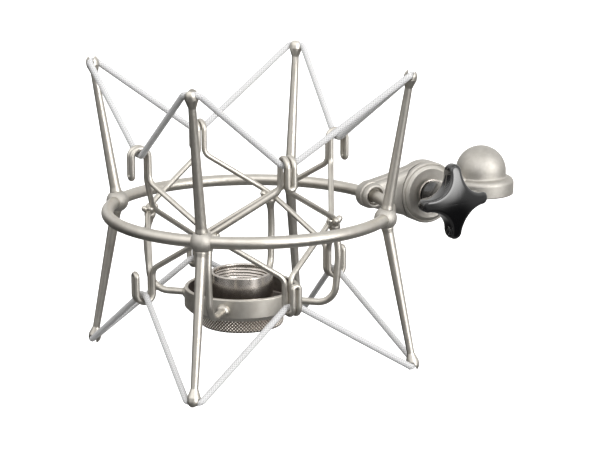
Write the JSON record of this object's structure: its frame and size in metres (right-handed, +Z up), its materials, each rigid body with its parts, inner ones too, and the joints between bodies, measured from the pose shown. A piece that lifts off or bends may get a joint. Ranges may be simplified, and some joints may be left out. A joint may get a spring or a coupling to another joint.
{
  "type": "microphone shock mount",
  "caption": "Spider shock mount for a large studio microphone: a wire cradle with a threaded sleeve hangs on elastic bands in a ring frame on a tilting stand coupling.",
  "frame": {"origin": "centre of the stand socket's mouth, on the underside of the stand coupling", "axes": "+Z up along the stand's axis, -X from the coupling to the suspension ring, -Y towards the clamp knob"},
  "size_m": [0.1856, 0.1188, 0.1216],
  "materials": {
    "satin_nickel": "satin nickel plating",
    "polished_steel": "polished steel",
    "knurled_steel": "diamond knurled steel",
    "brass": "machined brass",
    "white_elastic": "white braid over rubber strands",
    "black_gloss": "moulded gloss black plastic",
    "dark_fibre": "pressed fibre"
  },
  "bodies": {
    "stand_coupling": {"stand_casting": "satin_nickel", "stand_thread_insert": "brass", "friction_disc": "dark_fibre"},
    "outer_frame": {"swivel_neck": "satin_nickel", "pivot_bolt": "polished_steel", "knob_washer": "polished_steel", "ring_arc_ab": "satin_nickel", "ring_arc_bc": "satin_nickel", "ring_arc_c": "satin_nickel", "ring_arc_d": "satin_nickel", "ring_arc_da": "satin_nickel", "ball_a": "satin_nickel", "ball_b": "satin_nickel", "ball_c": "satin_nickel", "ball_d": "satin_nickel", "upper_post_a": "satin_nickel", "upper_post_b": "satin_nickel", "upper_post_c": "satin_nickel", "upper_post_d": "satin_nickel", "lower_post_a": "satin_nickel", "lower_post_b": "satin_nickel", "lower_post_c": "satin_nickel", "lower_post_d": "satin_nickel"},
    "clamp_knob": {"star_knob": "black_gloss", "knob_insert": "brass"},
    "cradle": {"upper_band": "white_elastic", "lower_band": "white_elastic", "upper_hook_ab": "satin_nickel", "upper_hook_bc": "satin_nickel", "upper_hook_cd": "satin_nickel", "upper_hook_da": "satin_nickel", "lower_hook_ab": "satin_nickel", "lower_hook_bc": "satin_nickel", "lower_hook_cd": "satin_nickel", "lower_hook_da": "satin_nickel", "cradle_arm_a": "satin_nickel", "cradle_arm_b": "satin_nickel", "cradle_arm_c": "satin_nickel", "cradle_arm_d": "satin_nickel", "arm_collar_a": "satin_nickel", "arm_collar_b": "satin_nickel", "arm_collar_c": "satin_nickel", "arm_collar_d": "satin_nickel", "base_cup": "satin_nickel"},
    "mic_sleeve": {"threaded_sleeve": "polished_steel", "retaining_ring": "polished_steel", "knurled_ring": "knurled_steel"}
  },
  "joints": [
    {"name": "swivel_tilt", "type": "hinge", "parent": "stand_coupling", "child": "outer_frame", "pos_m": [-0.0278, 0, 0.0035], "axis": [0, 1, 0], "range_deg": [-85, 85]},
    {"name": "knob_turn", "type": "hinge", "parent": "outer_frame", "child": "clamp_knob", "pos_m": [-0.0278, 0, 0.0035], "axis": [0, -1, 0], "range_deg": [0, 540]},
    {"name": "cradle_bounce", "type": "slide", "parent": "outer_frame", "child": "cradle", "axis": [0, 0, 1], "range_m": [-0.008, 0.006], "stiffness_N_per_m": 900, "deforming": ["upper_band", "lower_band"]},
    {"name": "sleeve_spin", "type": "hinge", "parent": "cradle", "child": "mic_sleeve", "pos_m": [-0.1148, 0.0014, -0.0394], "axis": [0, 0, 1], "continuous": true}
  ]
}
